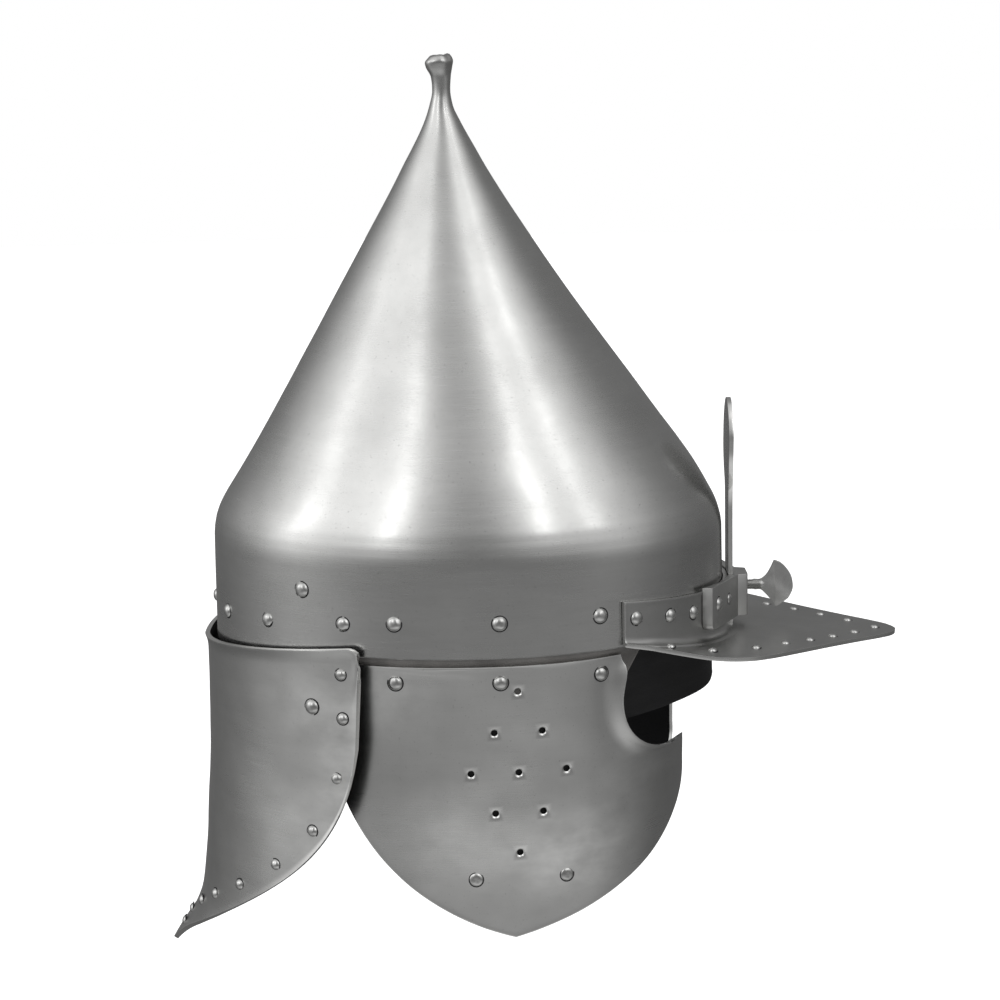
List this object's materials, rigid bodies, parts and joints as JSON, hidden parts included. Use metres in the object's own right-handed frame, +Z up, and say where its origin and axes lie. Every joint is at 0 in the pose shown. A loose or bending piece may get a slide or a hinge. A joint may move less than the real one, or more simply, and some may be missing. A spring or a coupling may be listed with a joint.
{
  "type": "shishak helmet",
  "caption": "Conical steel helmet with a pointed brim, a sliding nasal bar held by a wing screw, hanging cheek guards and a flared neck guard.",
  "frame": {"origin": "middle of the skull's lower rim, where the helmet sits on the head", "axes": "+Z up towards the finial, -Y towards the face and brim, +X towards the wearer's left"},
  "size_m": [0.2034, 0.3407, 0.411],
  "materials": {
    "steel": "satin brushed sheet steel",
    "bright_steel": "bright worn steel",
    "leather": "dark strap leather",
    "lining": "matt black lining"
  },
  "bodies": {
    "shell": {"band_rivet_0_right": "bright_steel", "band_rivet_1_left": "bright_steel", "band_rivet_1_right": "bright_steel", "band_rivet_2_left": "bright_steel", "band_rivet_2_right": "bright_steel", "band_rivet_3_left": "bright_steel", "band_rivet_3_right": "bright_steel", "bracket_rivet_1_left": "bright_steel", "bracket_rivet_1_right": "bright_steel", "bracket_rivet_2_left": "bright_steel", "bracket_rivet_2_right": "bright_steel", "cheek_guard_left": "steel", "cheek_guard_right": "steel", "cheek_lining_left": "lining", "cheek_lining_right": "lining", "cheek_strap_guard_rivet_1_left": "bright_steel", "cheek_strap_guard_rivet_1_right": "bright_steel", "cheek_strap_guard_rivet_2_left": "bright_steel", "cheek_strap_guard_rivet_2_right": "bright_steel", "cheek_strap_guard_rivet_3_left": "bright_steel", "cheek_strap_guard_rivet_3_right": "bright_steel", "cheek_strap_left": "leather", "cheek_strap_right": "leather", "cheek_strap_skull_rivet_1_left": "bright_steel", "cheek_strap_skull_rivet_1_right": "bright_steel", "cheek_strap_skull_rivet_2_left": "bright_steel", "cheek_strap_skull_rivet_2_right": "bright_steel", "cheek_strap_skull_rivet_3_left": "bright_steel", "cheek_strap_skull_rivet_3_right": "bright_steel", "liner": "lining", "nasal_bracket": "steel", "neck_guard": "steel", "neck_strap_guard_rivet_left": "bright_steel", "neck_strap_guard_rivet_right": "bright_steel", "neck_strap_left": "leather", "neck_strap_right": "leather", "neck_strap_skull_rivet_left": "bright_steel", "neck_strap_skull_rivet_right": "bright_steel", "skull": "steel", "visor": "steel", "visor_rivet_1_left": "bright_steel", "visor_rivet_1_right": "bright_steel", "visor_rivet_2_left": "bright_steel", "visor_rivet_2_right": "bright_steel", "visor_rivet_3_left": "bright_steel", "visor_rivet_3_right": "bright_steel"},
    "nasal": {"nasal_bar": "steel"},
    "wing_screw": {"wing_screw": "bright_steel"}
  },
  "joints": [
    {"name": "nasal_slide", "type": "slide", "parent": "shell", "child": "nasal", "axis": [0, 0, 1], "range_m": [-0.03, 0]},
    {"name": "wing_screw_turn", "type": "hinge", "parent": "shell", "child": "wing_screw", "pos_m": [0, -0.1235, 0.0093], "axis": [0, -1, 0], "continuous": true}
  ]
}
